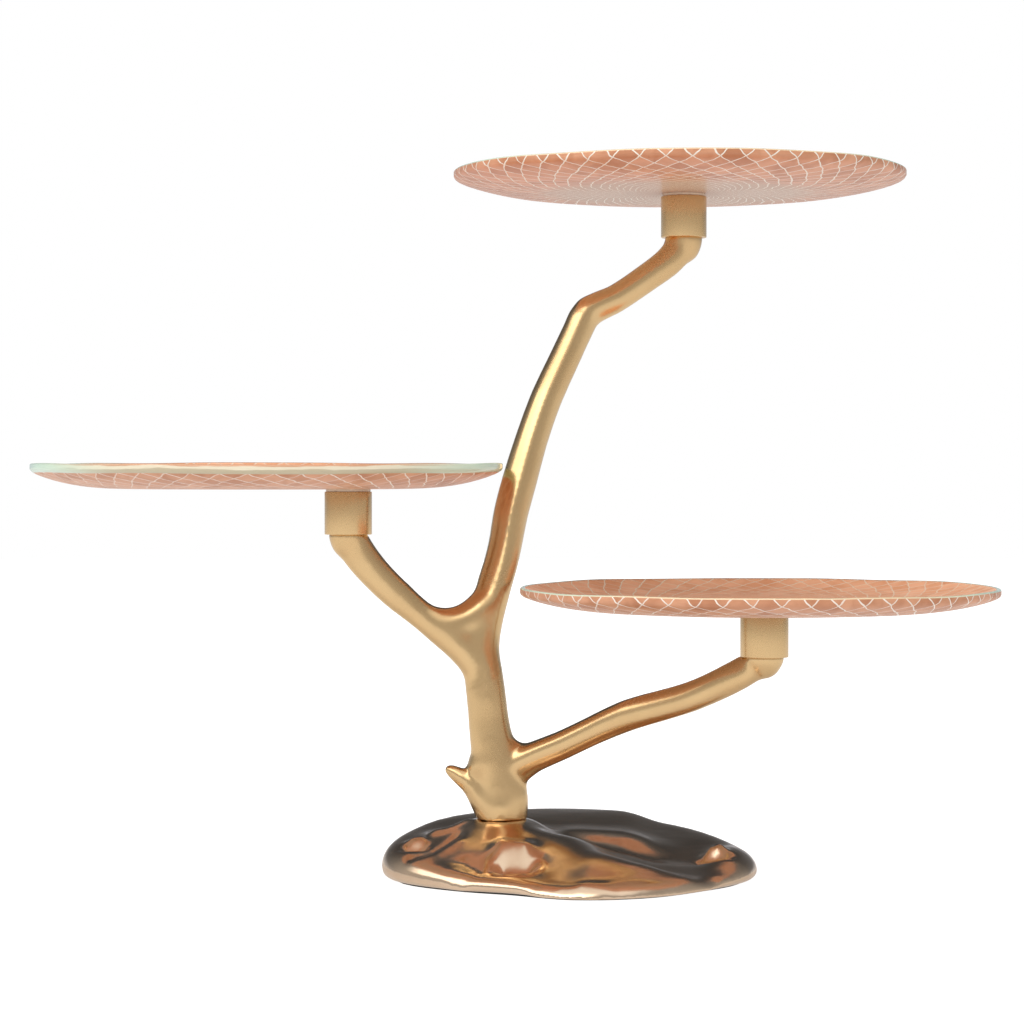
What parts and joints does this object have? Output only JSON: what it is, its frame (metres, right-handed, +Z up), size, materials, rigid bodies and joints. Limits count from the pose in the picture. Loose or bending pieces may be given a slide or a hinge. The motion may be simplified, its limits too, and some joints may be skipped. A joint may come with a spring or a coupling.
{
  "type": "tiered cake stand",
  "caption": "Branch-shaped metal stand on an irregular cast base, holding round glass plates at staggered heights that lift off and turn.",
  "frame": {"origin": "on the table, under the middle of the base, at the underside of the felt", "axes": "+X to the stand's right as seen from the front, where the low plate is; +Y to the back; +Z up"},
  "size_m": [0.5142, 0.3504, 0.3873],
  "materials": {
    "base_bronze": "polished, antique bronze plating",
    "trunk_brass": "satin, antique brass plating",
    "cup_brass": "turned, satin antique brass plating",
    "plug_brass": "turned",
    "plate_glass": "clear glass over copper enamel with a raised cream lattice",
    "clear_silicone": "translucent",
    "felt": "pressed felt",
    "steel": "zinc plated"
  },
  "bodies": {
    "stand": {"base": "base_bronze", "felt_pad": "felt", "trunk": "trunk_brass", "trunk_bolt": "steel", "lock_washer": "steel", "flat_washer": "steel", "locating_pin": "steel", "left_cup": "cup_brass", "left_cup_screw": "steel", "top_cup": "cup_brass", "top_cup_screw": "steel", "right_cup": "cup_brass", "right_cup_screw": "steel"},
    "left_seat": {"left_ring": "clear_silicone"},
    "left_tray": {"left_plug": "plug_brass", "left_plate": "plate_glass"},
    "top_seat": {"top_ring": "clear_silicone"},
    "top_tray": {"top_plug": "plug_brass", "top_plate": "plate_glass"},
    "right_seat": {"right_ring": "clear_silicone"},
    "right_tray": {"right_plug": "plug_brass", "right_plate": "plate_glass"}
  },
  "joints": [
    {"name": "left_lift", "type": "slide", "parent": "stand", "child": "left_seat", "axis": [0, 0, 1], "range_m": [0, 0.012]},
    {"name": "left_turn", "type": "hinge", "parent": "left_seat", "child": "left_tray", "pos_m": [-0.119, 0.01, 0.21], "axis": [0, 0, 1], "range_deg": [-12, 40]},
    {"name": "top_lift", "type": "slide", "parent": "stand", "child": "top_seat", "axis": [0, 0, 1], "range_m": [0, 0.012]},
    {"name": "top_turn", "type": "hinge", "parent": "top_seat", "child": "top_tray", "pos_m": [0.065, 0.076, 0.3745], "axis": [0, 0, 1], "continuous": true},
    {"name": "right_lift", "type": "slide", "parent": "stand", "child": "right_seat", "axis": [0, 0, 1], "range_m": [0, 0.012]},
    {"name": "right_turn", "type": "hinge", "parent": "right_seat", "child": "right_tray", "pos_m": [0.102, -0.022, 0.146], "axis": [0, 0, 1], "continuous": true}
  ]
}
